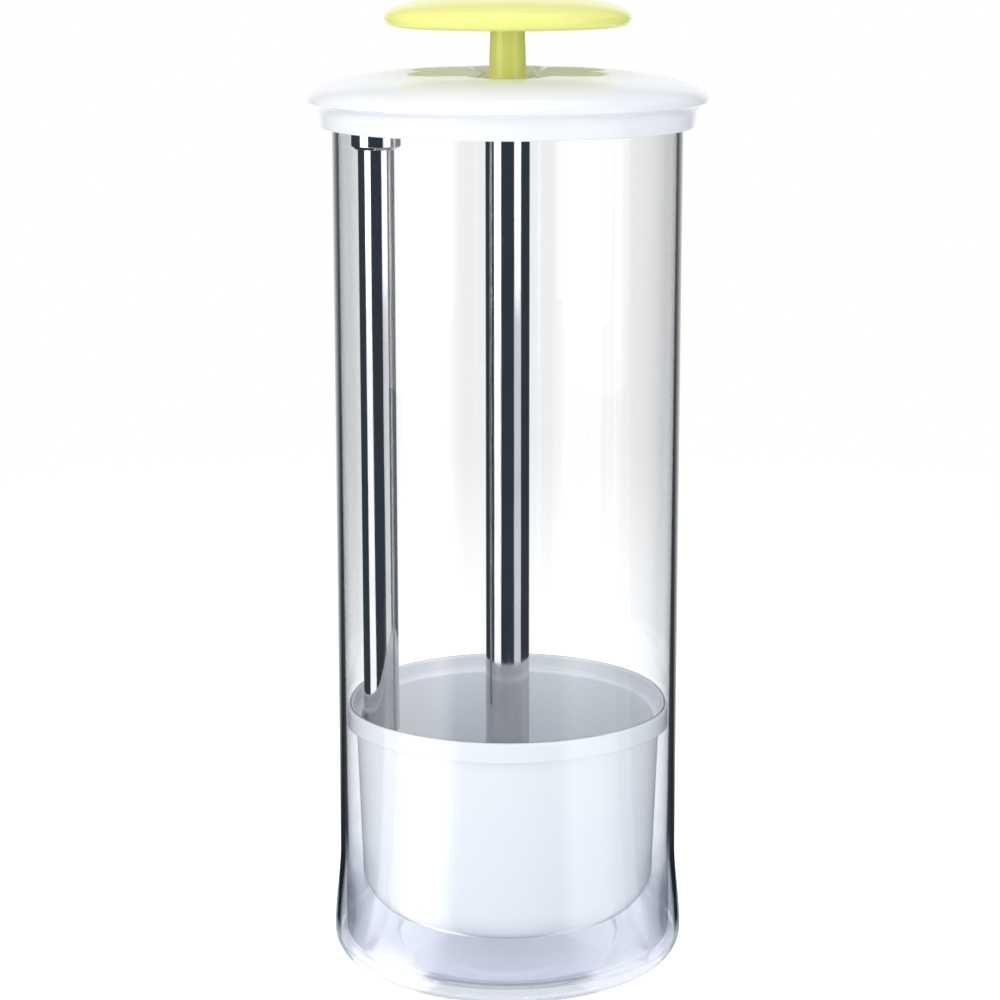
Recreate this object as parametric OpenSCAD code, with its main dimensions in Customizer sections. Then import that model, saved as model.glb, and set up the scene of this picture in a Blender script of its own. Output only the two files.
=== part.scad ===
// Herb keeper: a tall glass jar with a domed lid. The lid carries a handle above and, on a
// steel tube, a water basket below, so that lid and basket lift out of the jar together.
// Origin: centre of the ring that the jar stands on. +Z is up and -Y is the front. Millimetres.

/* [Jar] */
// Outer diameter of the jar's straight wall
jar_d = 100; // [90:1:130]
// Height of the jar
jar_h = 254; // [200:1:320]
// Thickness of the jar's wall
jar_wall = 1.7; // [1.4:0.1:3]
// Thickness of the jar's floor
jar_floor = 5.5; // [4:0.1:9]
// How far the base stands out beyond the wall
base_flare = 1.8; // [0.5:0.1:3]
// Height at which the flare of the base ends
flare_h = 34; // [20:1:60]
// Radius of the outer bottom corner
base_corner_r = 8.4; // [4:0.1:12]
// Radius of the inner bottom corner
inner_corner_r = 4; // [2:0.1:6]
// Width of the ring that the jar stands on
foot_w = 9; // [4:0.5:14]
// Depth of the hollow inside that ring
punt_depth = 0.8; // [0.3:0.1:2]
// Rounding of the jar's rim
jar_rim_r = 0.5; // [0.2:0.1:0.6]

/* [Lid shell] */
// Gap between the lid's skirt and the jar
skirt_gap = 0.6; // [0.3:0.1:1.5]
// Thickness of the skirt
skirt_t = 3.1; // [2:0.1:5]
// How far the skirt reaches down over the jar
skirt_drop = 6.7; // [4:0.1:9]
// How much narrower the skirt is at its lower edge
skirt_draft = 0.3; // [0:0.1:0.8]
// Rounding of the skirt's lower edge
skirt_edge_r = 0.6; // [0.2:0.1:1]
// Height of the skirt's plain face above that edge
skirt_face_h = 2.6; // [1.6:0.1:3]
// How far the rim stands out beyond the skirt
rim_overhang = 3.4; // [2:0.1:6]
// Radius of the cove under the rim
cove_r = 4.2; // [3.6:0.1:6.5]
// Height of the rim's edge above the jar
rim_rise = 1.2; // [0:0.1:3]
// Height of the dome above the rim's edge
dome_h = 7.5; // [6.5:0.1:14]
// Radius of the dome's flat crown
crown_r = 24; // [20:0.5:28]
// Thickness of the shell
shell_wall = 2.3; // [1.6:0.1:2.6]
// Width of the ledge inside the shell that sits on the tray
ledge_w = 3.1; // [2:0.1:5]

/* [Flower recess] */
// Number of scoops in the flower
scoops = 6; // [4:1:6]
// Distance of each scoop's centre from the axis
scoop_offset = 20; // [17:0.1:21]
// Radius of a scoop at the crown
scoop_r = 11; // [8:0.1:12]
// Depth of the scoops
scoop_depth = 4.3; // [3:0.1:5]
// How much narrower a scoop is at its floor
scoop_lean = 5; // [1:0.1:6.5]
// Depth of the seat for the stem below the crown
seat_depth = 5.5; // [4.5:0.1:6.5]
// Radius at the crown of the funnel that leads down to the seat
funnel_r = 15.5; // [13:0.1:17]
// Radius of the seat's hub
hub_r = 8.6; // [7.8:0.1:10]
// Width of the vent slots
vent_w = 6; // [3:0.1:7]
// Half of the angle that each vent slot spans
vent_half_angle = 20; // [8:1:23]
// Width of the strip between the hub and the vent slots
vent_rim = 0.6; // [0.4:0.1:1]

/* [Tray and seal] */
// Depth of the tray's underside below the jar's rim
tray_drop = 5.6; // [5:0.1:9]
// Thickness of the tray's floor
tray_floor_t = 2; // [1.6:0.1:3]
// Thickness of the tray's wall
tray_wall = 1.6; // [1.2:0.1:2.5]
// Thickness of the tray's flange
tray_flange_t = 1.4; // [1:0.1:2]
// Rounding of the tray's lower edge
tray_edge_r = 1; // [0.5:0.1:1.4]
// Height of the tray's boss under the hub
tray_boss_h = 2; // [1:0.1:2.5]
// Width of the channel that leads to the filler tube
channel_w = 8; // [4:0.5:9]
// Depth of that channel
channel_depth = 0.8; // [0.3:0.1:1]
// Thickness of the seal on the jar's rim
seal_t = 1.2; // [0.8:0.1:2]
// Thickness of the seal's sleeve
seal_sleeve_t = 0.8; // [0.5:0.1:1.2]
// Number of fins round the sleeve
seal_fins = 2; // [1:1:3]
// Gap between the seal's fins and the jar
seal_gap = 0.3; // [0.3:0.1:0.5]

/* [Handle] */
// Diameter of the handle's disc
disc_d = 70.2; // [50:0.2:90]
// Finger gap between the lid's crown and the disc
finger_gap = 12.7; // [8:0.1:25]
// Rounding of the disc's lower edge
disc_edge_r = 2.6; // [2:0.1:3.4]
// Height of the disc's dome above its widest line
disc_dome_h = 6.6; // [5:0.1:12]
// Thickness of the disc's shell
disc_wall = 2; // [1.4:0.1:2.4]
// Thickness of the disc above the stem's spigot
disc_cover = 3; // [2.6:0.1:4]
// Thickness of the wall round that spigot
disc_boss_wall = 3; // [2:0.1:4]
// Thickness of the plate under the disc
underplate_t = 1.8; // [1.2:0.1:2]
// Diameter of the stem under the disc
stem_d = 9.8; // [9:0.1:13]
// How much wider the stem is at the lid
stem_draft = 0.5; // [0:0.1:1]
// How far the stem's foot stands out
foot_flange_w = 1.5; // [0.8:0.1:2]
// Thickness of the stem's foot
foot_flange_t = 1.2; // [0.8:0.1:2]
// Diameter of the spigot that holds the disc
spigot_d = 7.6; // [6:0.1:8]
// Diameter of the threaded insert
insert_d = 6.4; // [6:0.1:6.6]
// Length of the threaded insert
insert_l = 9; // [5:0.1:9]
// How far the stud stands out above the insert
stud_above = 2; // [1:0.1:3]
// Thickness of the washer under the stem
stem_gasket_t = 0.8; // [0.4:0.1:1.5]

/* [Tubes] */
// Outer diameter of the centre tube
tube_d = 13; // [12:0.1:14]
// Thickness of its wall
tube_wall = 0.6; // [0.4:0.1:1]
// Outer diameter of the filler tube
filler_d = 10.7; // [9:0.1:12]
// Thickness of its wall
filler_wall = 0.6; // [0.4:0.1:0.9]
// Gap between the filler tube and the basket's wall
filler_gap = 0.45; // [0.3:0.05:2]
// How far the filler tube reaches down into the basket
filler_dip = 10; // [6:0.5:12]
// Width of the flange at the top of the filler tube
filler_flange_w = 0.85; // [0.5:0.05:1.2]
// Thickness of that flange
filler_flange_t = 0.6; // [0.3:0.1:0.8]
// How far the collar stands out round the filler tube
collar_w = 1.95; // [1.2:0.05:2.6]
// Height of the collar
collar_h = 6.8; // [4:0.1:12]
// Chamfer of the collar's lower edge
collar_chamfer = 0.9; // [0.2:0.1:1]
// Thickness of the seal above the collar
filler_seal_t = 0.8; // [0.4:0.1:1.5]
// Length of the plugs in the ends of the centre tube
plug_l = 12; // [10:0.5:20]
// Thickness of the top plug's flange
plug_flange_t = 1.5; // [1:0.1:3]

/* [Basket] */
// Gap between the basket's rim and the jar
basket_gap = 0.5; // [0.3:0.1:1.5]
// Height of the basket
basket_h = 63.5; // [50:0.5:90]
// Clear height between the jar's floor and the basket
basket_clear = 9.5; // [4:0.5:20]
// Thickness of the basket's wall
basket_wall = 1.8; // [1.2:0.1:2.5]
// Thickness of the basket's floor
basket_floor = 2.5; // [1.6:0.1:3.2]
// Height of the band round the basket's rim
band_h = 5.8; // [4:0.1:10]
// How far the band stands out beyond the body
band_w = 2.6; // [1.8:0.1:4]
// Rounding of the band's edges
band_edge_r = 0.5; // [0.2:0.1:0.6]
// How much narrower the body is above its lower corner
basket_draft = 1.7; // [0.5:0.1:4]
// Radius of the body's lower corner
basket_corner_r = 11; // [6:0.5:14]
// Height of the hub that holds the tube, above the basket's floor
basket_hub_h = 12.5; // [10:0.5:20]
// Thickness of the hub's wall
basket_hub_wall = 2.9; // [1.8:0.1:4]
// Depth of the recess for the screw's head
screw_recess = 3.6; // [3.5:0.1:4.5]
// Thickness of the hub's floor
hub_floor = 2; // [1.4:0.1:3]
// Thickness of the washer between hub and tube
basket_gasket_t = 0.8; // [0.4:0.1:1.5]

/* [Fasteners] */
// Diameter of the tie stud
stud_d = 5; // [4:0.1:5.2]
// Length of the stud below the lid's seat and in the top plug
stud_below = 20; // [16:0.5:21]
// Diameter of the basket's screw
screw_d = 4; // [3:0.1:4.4]
// Diameter of its head
screw_head_d = 7.8; // [6:0.1:8.4]
// Height of its head
screw_head_h = 2.6; // [2:0.1:2.7]
// Thickness of its washer
washer_t = 0.8; // [0.5:0.1:0.8]
// Number of screws between tray and shell
tray_screws_n = 3; // [3:1:6]
// Distance of the tray's screws from the axis
tray_screw_pcd_r = 36; // [34.5:0.1:37]
// Diameter of the tray's screws
tray_screw_d = 2.6; // [2:0.1:3]
// Diameter of their heads
tray_screw_head_d = 5.6; // [4.5:0.1:6]
// Height of their heads
tray_screw_head_h = 1.8; // [1.2:0.1:2.4]
// Diameter of the bosses that they go into
screw_boss_d = 6.8; // [6:0.1:8]

/* [Hidden] */
$fn = 96;

running = 0.05;      // radial clearance of pieces that turn or slide on each other
fixed_gap = 0.05;    // radial gap of round pieces that are fastened in each other
hole_gap = 0.3;      // radial gap round a bolt in a plain hole
cut = 1;             // how far cutting bodies stand out of what they cut
end_gap = 0.2;       // gap at the end of a spigot
tip_gap = 1;         // gap beyond the tip of a screw or stud
plug_floor = 1;      // closed end of each plug in the centre tube
pan_rim = 2;         // how far the seat's wall reaches past the vent slots
screw_cover = 3;     // material between a tray screw's tip and the underside of the dome
key_share = 0.45;    // width of a screw's hex socket, as a share of its head
key_depth = 0.6;     // depth of that socket, as a share of the head's height
chamfer = 0.6;       // bevel at the ends of the stud
fin_share = 0.35;    // half of a seal fin's root, as a share of the fins' pitch
step_slope = 0.4;    // slope of the ledge inside the basket's band
lead = 0.1;          // shortest straight piece between two curves
steps = 12;          // straight pieces in each large arc
mid_steps = 6;       // straight pieces in each middling arc
small_steps = 4;     // straight pieces in each small arc

// Radii of the jar
jar_r = jar_d / 2;
jar_in_r = jar_r - jar_wall;
base_r = jar_r + base_flare;
foot_r = base_r - base_corner_r;

// Heights and radii of the lid
skirt_in_r = jar_r + skirt_gap;
skirt_r = skirt_in_r + skirt_t;
rim_r = skirt_r + rim_overhang;
skirt_z = jar_h - skirt_drop;
rim_z = jar_h + rim_rise;
crown_z = rim_z + dome_h;
tray_z = jar_h - tray_drop;
tray_floor_z = tray_z + tray_floor_t;
flange_z = jar_h + seal_t;
shell_seat_z = flange_z + tray_flange_t;
cavity_r = skirt_in_r - ledge_w;
tray_out_r = jar_in_r - seal_gap - 2 * seal_sleeve_t;
scoop_z = crown_z - scoop_depth;
seat_z = crown_z - seat_depth;
boss_z = tray_floor_z + tray_boss_h;
vent_in_r = hub_r + vent_rim;
seat_pan_r = vent_in_r + vent_w + pan_rim;
bolt_hole_r = stud_d / 2 + hole_gap;

// Heights and radii of the handle
disc_r = disc_d / 2;
disc_z = crown_z + finger_gap;
disc_wide_z = disc_z + disc_edge_r;
disc_top_z = disc_wide_z + disc_dome_h;
underplate_r = disc_r - disc_edge_r - disc_wall / 2;
underplate_top_z = disc_z + underplate_t;
stem_z = seat_z + stem_gasket_t;
stem_r = stem_d / 2;
spigot_top_z = disc_top_z - disc_cover;
insert_r = insert_d / 2;

// Heights and radii of the basket
basket_z = jar_floor + basket_clear;
basket_top_z = basket_z + basket_h;
band_z = basket_top_z - band_h;
band_r = jar_in_r - basket_gap;
basket_r = band_r - band_w;
basket_in_r = basket_r - basket_wall;
lower_r = basket_r - basket_draft;
corner_z = basket_z + basket_corner_r;
inner_basket_corner_r = basket_corner_r - basket_floor;
hub_top_z = basket_z + basket_floor + basket_hub_h;
hub_in_r = tube_d / 2 + fixed_gap;
basket_hub_r = hub_in_r + basket_hub_wall;
recess_z = basket_z + screw_recess;
socket_z = recess_z + hub_floor;
screw_hole_r = screw_d / 2 + hole_gap;

// Heights and radii of the tubes
tube_r = tube_d / 2;
tube_in_r = tube_r - tube_wall;
tube_z = socket_z + basket_gasket_t;
tube_top_z = tray_z - plug_flange_t;
stud_z = tray_z - stud_below;
filler_r = filler_d / 2;
filler_in_r = filler_r - filler_wall;
filler_x = -(basket_in_r - filler_gap - filler_r);
filler_z = basket_top_z - filler_dip;
filler_hole_r = filler_r + fixed_gap;
filler_flange_r = filler_r + filler_flange_w;
collar_top_z = tray_z - filler_seal_t;
collar_z = collar_top_z - collar_h;

// Points of an arc round [x, z], from angle a to angle b
function arc(x, z, r, a, b, n = steps) =
    [for (i = [0:n]) [x + r * cos(a + (b - a) * i / n), z + r * sin(a + (b - a) * i / n)]];

// Points of a soft S between two heights, the radius going from r1 to r2
function swell(r1, z1, r2, z2, n = steps) =
    [for (i = [0:n]) let (t = i / n) [r1 + (r2 - r1) * t * t * (3 - 2 * t), z1 + (z2 - z1) * t]];

// Height of the lid's dome, from the crown to the rim, raised by h
function dome(h = 0, r_end = rim_r) = [for (i = [0:2 * steps])
    let (r = crown_r + (r_end - crown_r) * sin(90 * i / (2 * steps)),
         q = (r - crown_r) / (rim_r - crown_r))
    [r, rim_z + dome_h * sqrt(max(0, 1 - q * q)) + h]];

function reversed(p) = [for (i = [len(p) - 1:-1:0]) p[i]];

module ring(r_out, r_in, z, h) {
    translate([0, 0, z]) difference() {
        cylinder(r = r_out, h = h);
        translate([0, 0, -cut]) cylinder(r = r_in, h = h + 2 * cut);
    }
}

// What repeats round the axis, the first copy at the front
module round_axis(n, start = -90) {
    for (i = [0:n - 1]) rotate([0, 0, start + 360 * i / n]) children();
}

module glass_vessel() {
    color("lightcyan", 0.4) rotate_extrude() polygon(concat(
        [[0, punt_depth], [foot_r - foot_w - punt_depth, punt_depth], [foot_r - foot_w, 0]],
        arc(foot_r, base_corner_r, base_corner_r, -90, 0),
        swell(base_r, base_corner_r + lead, jar_r, flare_h),
        arc(jar_r - jar_rim_r, jar_h - jar_rim_r, jar_rim_r, 0, 90, small_steps),
        arc(jar_in_r + jar_rim_r, jar_h - jar_rim_r, jar_rim_r, 90, 180, small_steps),
        arc(jar_in_r - inner_corner_r, jar_floor + inner_corner_r, inner_corner_r, 0, -90),
        [[0, jar_floor]]));
}

// The lid's outer form: skirt, cove, rim and dome
module shell_outer() {
    cove_z = skirt_z + skirt_edge_r + skirt_face_h;
    tip_angle = 180 - acos((cove_r - rim_overhang) / cove_r);
    rotate_extrude() polygon(concat(
        [[0, skirt_z]],
        arc(skirt_r - skirt_draft - skirt_edge_r, skirt_z + skirt_edge_r, skirt_edge_r, -90, 0,
            small_steps),
        arc(skirt_r + cove_r, cove_z, cove_r, 180, tip_angle),
        reversed(dome()),
        [[0, crown_z]]));
}

// The hollow under the dome, with the bore for the jar
module shell_hollow() {
    rotate_extrude() polygon(concat(
        [[0, skirt_z - cut], [skirt_in_r, skirt_z - cut], [skirt_in_r, shell_seat_z],
         [cavity_r, shell_seat_z]],
        reversed(dome(-shell_wall, cavity_r)),
        [[0, crown_z - shell_wall]]));
}

// One scoop of the flower, as the body that cuts it
module scoop() {
    lean = scoop_lean / scoop_depth;
    translate([scoop_offset, 0, scoop_z])
        cylinder(r1 = scoop_r - scoop_lean, r2 = scoop_r + cut * lean, h = scoop_depth + cut);
}

// The wall that backs one scoop
module scoop_pan() {
    translate([scoop_offset, 0, scoop_z - shell_wall])
        cylinder(r1 = scoop_r - scoop_lean + shell_wall, r2 = scoop_r + shell_wall,
                 h = scoop_depth + shell_wall);
}

// The funnel from the crown down to the stem's seat, which the ridges between the scoops run into
module seat_funnel() {
    slope = (funnel_r - vent_in_r) / seat_depth;
    translate([0, 0, seat_z])
        cylinder(r1 = vent_in_r, r2 = funnel_r + cut * slope, h = seat_depth + cut);
}

module vent_slot() {
    translate([0, 0, seat_z - shell_wall - cut]) rotate([0, 0, -vent_half_angle])
        rotate_extrude(angle = 2 * vent_half_angle) translate([vent_in_r, 0])
            square([vent_w, shell_wall + scoop_depth]);
}

module tray_screw_places() {
    for (i = [0:tray_screws_n - 1])
        rotate([0, 0, 90 + 360 * i / tray_screws_n]) translate([tray_screw_pcd_r, 0, 0]) children();
}

module lid_shell() {
    color("white") difference() {
        shell_outer();
        difference() {
            shell_hollow();
            round_axis(scoops) scoop_pan();
            translate([0, 0, seat_z - shell_wall]) cylinder(r = seat_pan_r, h = scoop_depth);
            translate([0, 0, boss_z]) cylinder(r = hub_r, h = crown_z - boss_z);
            tray_screw_places() translate([0, 0, tray_floor_z])
                cylinder(d = screw_boss_d, h = crown_z - tray_floor_z);
        }
        round_axis(scoops) scoop();
        seat_funnel();
        round_axis(scoops) vent_slot();
        translate([0, 0, boss_z - cut]) cylinder(r = bolt_hole_r, h = dome_h + 2 * cut);
        tray_screw_places() translate([0, 0, tray_floor_z - cut])
            cylinder(r = tray_screw_d / 2 + fixed_gap, h = tray_screw_l() + cut);
    }
}

// Length of a tray screw above the tray's floor
function tray_screw_l() = crown_z - shell_wall - tray_floor_z - screw_cover;

module lid_tray() {
    tray_in_r = tray_out_r - tray_wall;
    color("whitesmoke") difference() {
        rotate_extrude() polygon(concat(
            [[bolt_hole_r, tray_z]],
            arc(tray_out_r - tray_edge_r, tray_z + tray_edge_r, tray_edge_r, -90, 0, mid_steps),
            [[tray_out_r, flange_z], [jar_r, flange_z], [jar_r, shell_seat_z],
             [tray_in_r, shell_seat_z], [tray_in_r, tray_floor_z], [hub_r, tray_floor_z],
             [hub_r, boss_z], [bolt_hole_r, boss_z]]));
        translate([filler_x, -channel_w / 2, tray_floor_z - channel_depth])
            cube([-filler_x - hub_r, channel_w, channel_depth + cut]);
        translate([filler_x, 0, tray_z - cut]) cylinder(r = filler_hole_r, h = tray_floor_t + 2 * cut);
        translate([filler_x, 0, tray_floor_z - filler_flange_t - channel_depth])
            cylinder(r = filler_flange_r + fixed_gap, h = filler_flange_t + channel_depth + cut);
        tray_screw_places() translate([0, 0, tray_z - cut])
            cylinder(r = tray_screw_d / 2 + hole_gap, h = tray_floor_t + 2 * cut);
    }
}

module lid_seal() {
    fin_r = jar_in_r - seal_gap;
    in_r = tray_out_r + fixed_gap;
    out_r = tray_out_r + seal_sleeve_t;
    low_z = tray_z + tray_edge_r;
    pitch = (jar_h - low_z) / (seal_fins + 1);
    color("gainsboro") rotate_extrude() polygon(concat(
        [[in_r, low_z], [out_r, low_z]],
        [for (i = [1:seal_fins], k = [-1, 0, 1])
            [k == 0 ? fin_r : out_r, low_z + i * pitch + k * pitch * fin_share]],
        [[out_r, jar_h], [jar_r, jar_h], [jar_r, flange_z], [in_r, flange_z]]));
}

module tray_screws() {
    color("silver") tray_screw_places() difference() {
        union() {
            translate([0, 0, tray_z - tray_screw_head_h])
                cylinder(d = tray_screw_head_d, h = tray_screw_head_h);
            translate([0, 0, tray_z - tray_screw_head_h / 2])
                cylinder(d = tray_screw_d, h = tray_floor_t + tray_screw_l());
        }
        translate([0, 0, tray_z - tray_screw_head_h - cut])
            cylinder(d = tray_screw_head_d * key_share, h = tray_screw_head_h * key_depth + cut, $fn = 6);
    }
}

// Outline of the disc's dome, from the widest line to the axis, moved in by t
function disc_dome(t = 0) = [for (i = [0:2 * steps]) let (a = 90 * i / (2 * steps))
    [(disc_r - t) * cos(a), disc_wide_z + (disc_dome_h - t) * sin(a)]];

module handle_disc() {
    boss_r = spigot_d / 2 + disc_boss_wall;
    color("khaki") difference() {
        rotate_extrude() polygon(concat(
            [[0, disc_z]],
            arc(disc_r - disc_edge_r, disc_wide_z, disc_edge_r, -90, 0, mid_steps),
            disc_dome(), [[0, disc_wide_z]]));
        translate([0, 0, disc_z - cut]) cylinder(r = underplate_r + fixed_gap, h = underplate_t + cut);
        difference() {
            rotate_extrude() polygon(concat(
                [[0, underplate_top_z - fixed_gap],
                 [underplate_r - disc_wall, underplate_top_z - fixed_gap]],
                disc_dome(disc_wall)));
            translate([0, 0, underplate_top_z]) cylinder(r = boss_r, h = disc_top_z - disc_z);
        }
        translate([0, 0, disc_z])
            cylinder(r = spigot_d / 2 + fixed_gap, h = spigot_top_z - disc_z + end_gap);
    }
}

module handle_underplate() {
    color("khaki") ring(underplate_r, stem_r + fixed_gap, disc_z, underplate_t);
}

module handle_stem() {
    flange_r = stem_r + stem_draft + foot_flange_w;
    flange_top_z = stem_z + foot_flange_t;
    insert_top_z = stem_z + insert_l;
    bore_top_z = insert_top_z + stud_above + tip_gap;
    color("khaki") rotate_extrude() polygon(concat(
        [[insert_r + fixed_gap, stem_z], [flange_r, stem_z], [flange_r, flange_top_z]],
        arc(flange_r, flange_top_z + foot_flange_w, foot_flange_w, -90, -180, mid_steps),
        [[stem_r, disc_z], [stem_r, underplate_top_z], [spigot_d / 2, underplate_top_z],
         [spigot_d / 2, spigot_top_z], [0, spigot_top_z], [0, bore_top_z],
         [bolt_hole_r, bore_top_z], [bolt_hole_r, insert_top_z],
         [insert_r + fixed_gap, insert_top_z]]));
}

module stem_insert() {
    groove = 0.4;
    color("goldenrod") difference() {
        ring(insert_r, stud_d / 2 + running, stem_z, insert_l);
        for (k = [1, 2])
            ring(insert_r + cut, insert_r - groove, stem_z + k * insert_l / 3 - groove, groove * 2);
    }
}

module stem_gasket() {
    color("gainsboro") ring(stem_r + stem_draft + foot_flange_w, bolt_hole_r, seat_z, stem_gasket_t);
}

module tie_stud() {
    top_z = stem_z + insert_l + stud_above;
    color("silver") rotate_extrude() polygon([[0, stud_z], [stud_d / 2 - chamfer, stud_z],
        [stud_d / 2, stud_z + chamfer], [stud_d / 2, top_z - chamfer],
        [stud_d / 2 - chamfer, top_z], [0, top_z]]);
}

module centre_tube() {
    color("silver") ring(tube_r, tube_in_r, tube_z, tube_top_z - tube_z);
}

module tube_top_plug() {
    plug_z = stud_z - plug_floor;
    color("gray") difference() {
        union() {
            translate([0, 0, tube_top_z]) cylinder(r = tube_r, h = plug_flange_t);
            translate([0, 0, plug_z])
                cylinder(r = tube_in_r - fixed_gap, h = tube_top_z - plug_z + plug_flange_t / 2);
        }
        translate([0, 0, stud_z]) cylinder(r = stud_d / 2 + fixed_gap, h = tray_z - stud_z + cut);
    }
}

module tube_foot_plug() {
    color("gray") difference() {
        translate([0, 0, tube_z]) cylinder(r = tube_in_r - fixed_gap, h = plug_l);
        translate([0, 0, tube_z - cut]) 
            cylinder(r = screw_d / 2 + fixed_gap, h = plug_l - plug_floor + cut);
    }
}

module water_basket() {
    step_z = band_z + basket_wall;
    edge_r = band_edge_r;
    color("white") rotate_extrude() polygon(concat(
        [[screw_hole_r, recess_z], [tube_r, recess_z], [tube_r, basket_z]],
        arc(lower_r - basket_corner_r, corner_z, basket_corner_r, -90, 0),
        [[basket_r, band_z]],
        arc(band_r - edge_r, band_z + edge_r, edge_r, -90, 0, small_steps),
        arc(band_r - edge_r, basket_top_z - edge_r, edge_r, 0, 90, small_steps),
        [[band_r - basket_wall, basket_top_z], [band_r - basket_wall, step_z],
         [basket_in_r, step_z - step_slope]],
        arc(lower_r - basket_wall - inner_basket_corner_r, corner_z, inner_basket_corner_r, 0, -90),
        [[basket_hub_r, basket_z + basket_floor], [basket_hub_r, hub_top_z], [hub_in_r, hub_top_z],
         [hub_in_r, socket_z], [screw_hole_r, socket_z]]));
}

module basket_gasket() {
    color("gainsboro") ring(tube_r - hole_gap, screw_hole_r, socket_z, basket_gasket_t);
}

module basket_washer() {
    color("silver") ring(tube_r - 2 * hole_gap, screw_hole_r, recess_z - washer_t, washer_t);
}

module basket_screw() {
    head_top_z = recess_z - washer_t;
    end_z = tube_z + plug_l - plug_floor - tip_gap;
    color("silver") difference() {
        union() {
            translate([0, 0, head_top_z - screw_head_h]) cylinder(d = screw_head_d, h = screw_head_h);
            translate([0, 0, head_top_z - screw_head_h / 2])
                cylinder(d = screw_d, h = end_z - head_top_z + screw_head_h / 2);
        }
        translate([0, 0, head_top_z - screw_head_h - cut])
            cylinder(d = screw_head_d * key_share, h = screw_head_h * key_depth + cut, $fn = 6);
    }
}

module filler_tube() {
    flange_low_z = tray_floor_z - filler_flange_t - channel_depth;
    color("silver") translate([filler_x, 0, 0]) {
        difference() {
            union() {
                translate([0, 0, filler_z])
                    cylinder(r = filler_r, h = flange_low_z - filler_z + filler_flange_t);
                translate([0, 0, flange_low_z]) cylinder(r = filler_flange_r, h = filler_flange_t);
            }
            translate([0, 0, filler_z - cut]) cylinder(r = filler_in_r, h = jar_h);
        }
    }
}

module filler_collar() {
    out_r = filler_r + collar_w;
    color("slategray") translate([filler_x, 0, 0]) rotate_extrude() polygon([
        [filler_hole_r, collar_z], [out_r - collar_chamfer, collar_z],
        [out_r, collar_z + collar_chamfer], [out_r, collar_top_z], [filler_hole_r, collar_top_z]]);
}

module filler_seal() {
    color("gainsboro") translate([filler_x, 0, 0])
        ring(filler_r + collar_w - hole_gap, filler_hole_r, collar_top_z, filler_seal_t);
}

glass_vessel();
lid_shell();
lid_tray();
lid_seal();
tray_screws();
handle_disc();
handle_underplate();
handle_stem();
stem_insert();
stem_gasket();
tie_stud();
centre_tube();
tube_top_plug();
tube_foot_plug();
water_basket();
basket_gasket();
basket_washer();
basket_screw();
filler_tube();
filler_collar();
filler_seal();
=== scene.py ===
"""The herb keeper as it looks: a tall glass jar with a white domed lid, a yellow disc handle, and a
white water basket that hangs inside on a steel tube. Shapes are given in millimetres, as the part's
source gives them, and are made in metres."""

import math

import bmesh
import bpy
from mathutils import Matrix, Vector


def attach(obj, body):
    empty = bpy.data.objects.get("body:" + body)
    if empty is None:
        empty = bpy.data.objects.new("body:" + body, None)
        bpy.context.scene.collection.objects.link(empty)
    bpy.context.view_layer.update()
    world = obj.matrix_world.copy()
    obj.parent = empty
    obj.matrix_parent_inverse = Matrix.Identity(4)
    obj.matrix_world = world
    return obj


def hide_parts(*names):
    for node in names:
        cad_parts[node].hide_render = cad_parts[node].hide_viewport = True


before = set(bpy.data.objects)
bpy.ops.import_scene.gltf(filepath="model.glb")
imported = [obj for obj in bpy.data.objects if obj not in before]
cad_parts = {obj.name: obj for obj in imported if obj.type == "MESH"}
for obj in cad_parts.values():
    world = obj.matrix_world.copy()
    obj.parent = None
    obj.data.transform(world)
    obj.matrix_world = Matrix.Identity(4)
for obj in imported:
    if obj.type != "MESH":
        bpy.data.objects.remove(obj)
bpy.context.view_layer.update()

MM = 0.001
GLASS_SEGMENTS = 384    # steps round the axis of the jar
SEGMENTS = 192          # steps round the axis of another large turned piece
FEW_SEGMENTS = 96       # steps round the axis of a slim one
SECTORS = 8             # a turned piece is spun through one sector, which is then repeated
WELD = 2e-6             # points closer than this are joined
SHARP = math.radians(32)  # faces that meet at more than this keep a crisp edge

# Radii and heights of the jar
JAR_R, JAR_IN_R, JAR_TOP = 50.0, 48.3, 254.0
BASE_R, BASE_CORNER, FLARE_TOP = 51.8, 8.4, 34.0
JAR_FLOOR, INNER_CORNER = 5.5, 4.0
FOOT_IN, PUNT = 34.4, 0.8

# Radii and heights of the lid
SKIRT_IN_R, SKIRT_R, SKIRT_Z = 50.6, 53.7, 247.3
RIM_R, RIM_Z, CROWN_Z, CROWN_R = 57.1, 255.2, 262.7, 24.0
COVE_R, COVE_Z = 4.2, 250.5
LID_WALL, LEDGE_Z, CAVITY_R = 2.3, 256.6, 47.5
PETALS, PETAL_OFFSET, PETAL_R, PETAL_LEAN, PETAL_DEPTH = 6, 20.0, 11.0, 5.0, 4.3
FUNNEL_R = 15.5
SEAT_Z, HUB_R, HUB_Z, BOLT_R = 257.2, 8.6, 252.4, 2.8
VENT_IN, VENT_OUT, VENT_HALF = 9.2, 15.2, 20.0
FLOWER_R = 33.0         # the flower recess lies inside this radius


# ---------------------------------------------------------------- making shapes

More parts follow.
